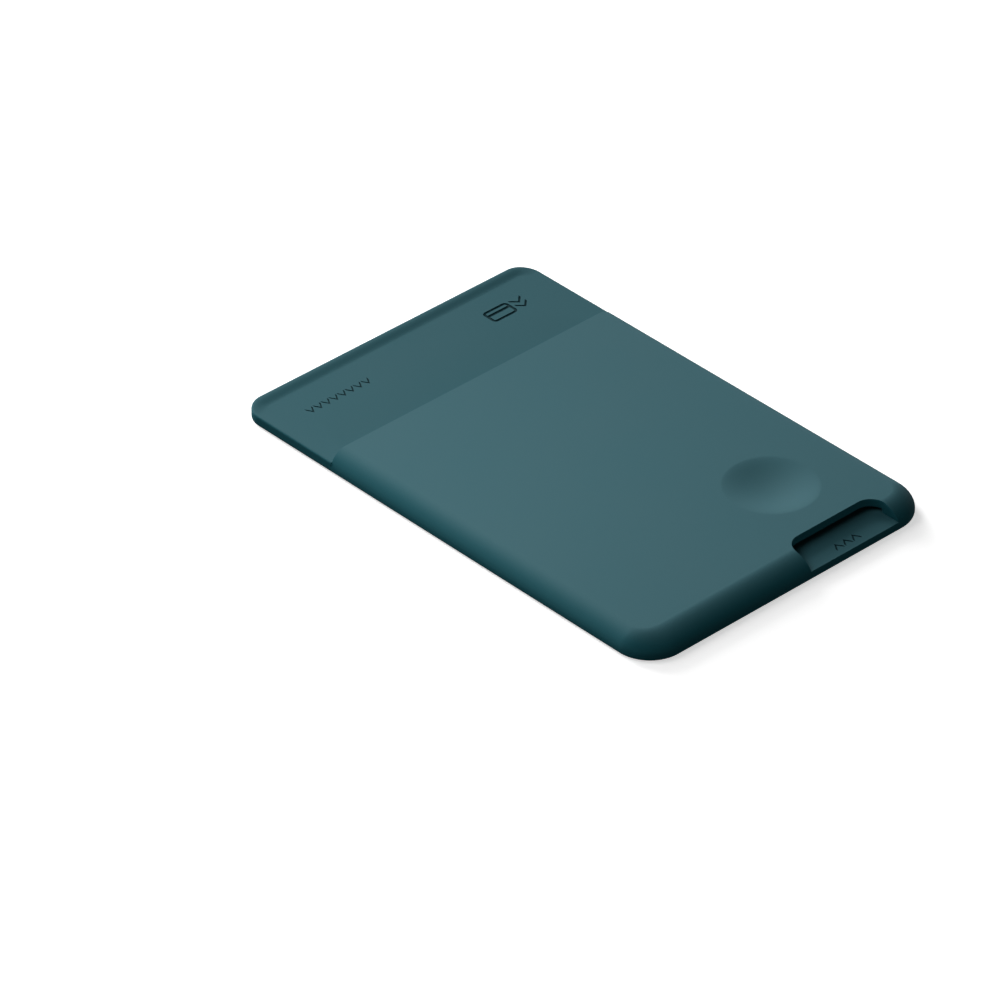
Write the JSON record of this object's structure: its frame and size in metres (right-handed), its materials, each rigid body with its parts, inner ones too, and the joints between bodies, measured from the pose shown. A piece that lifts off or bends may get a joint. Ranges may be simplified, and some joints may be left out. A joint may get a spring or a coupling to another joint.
{
  "type": "stick-on phone card holder",
  "caption": "Slim moulded silicone pocket that sticks to a phone and holds a standard card, with an open flap, a thumb dimple and a push-out notch.",
  "frame": {"origin": "centre of the adhesive face, which sticks to the phone or its case", "axes": "+Z out of the back of the phone through the front panel, +Y along the long side towards the open flap and the slot's mouth, +X along the short side, towards the dimple and the notch"},
  "size_m": [0.0624, 0.0946, 0.004],
  "materials": {
    "silicone": "matte, fine moulded texture",
    "adhesive": "satin white foam tape"
  },
  "bodies": {
    "root": {"pocket": "silicone", "adhesive_sheet": "adhesive"}
  },
  "joints": []
}
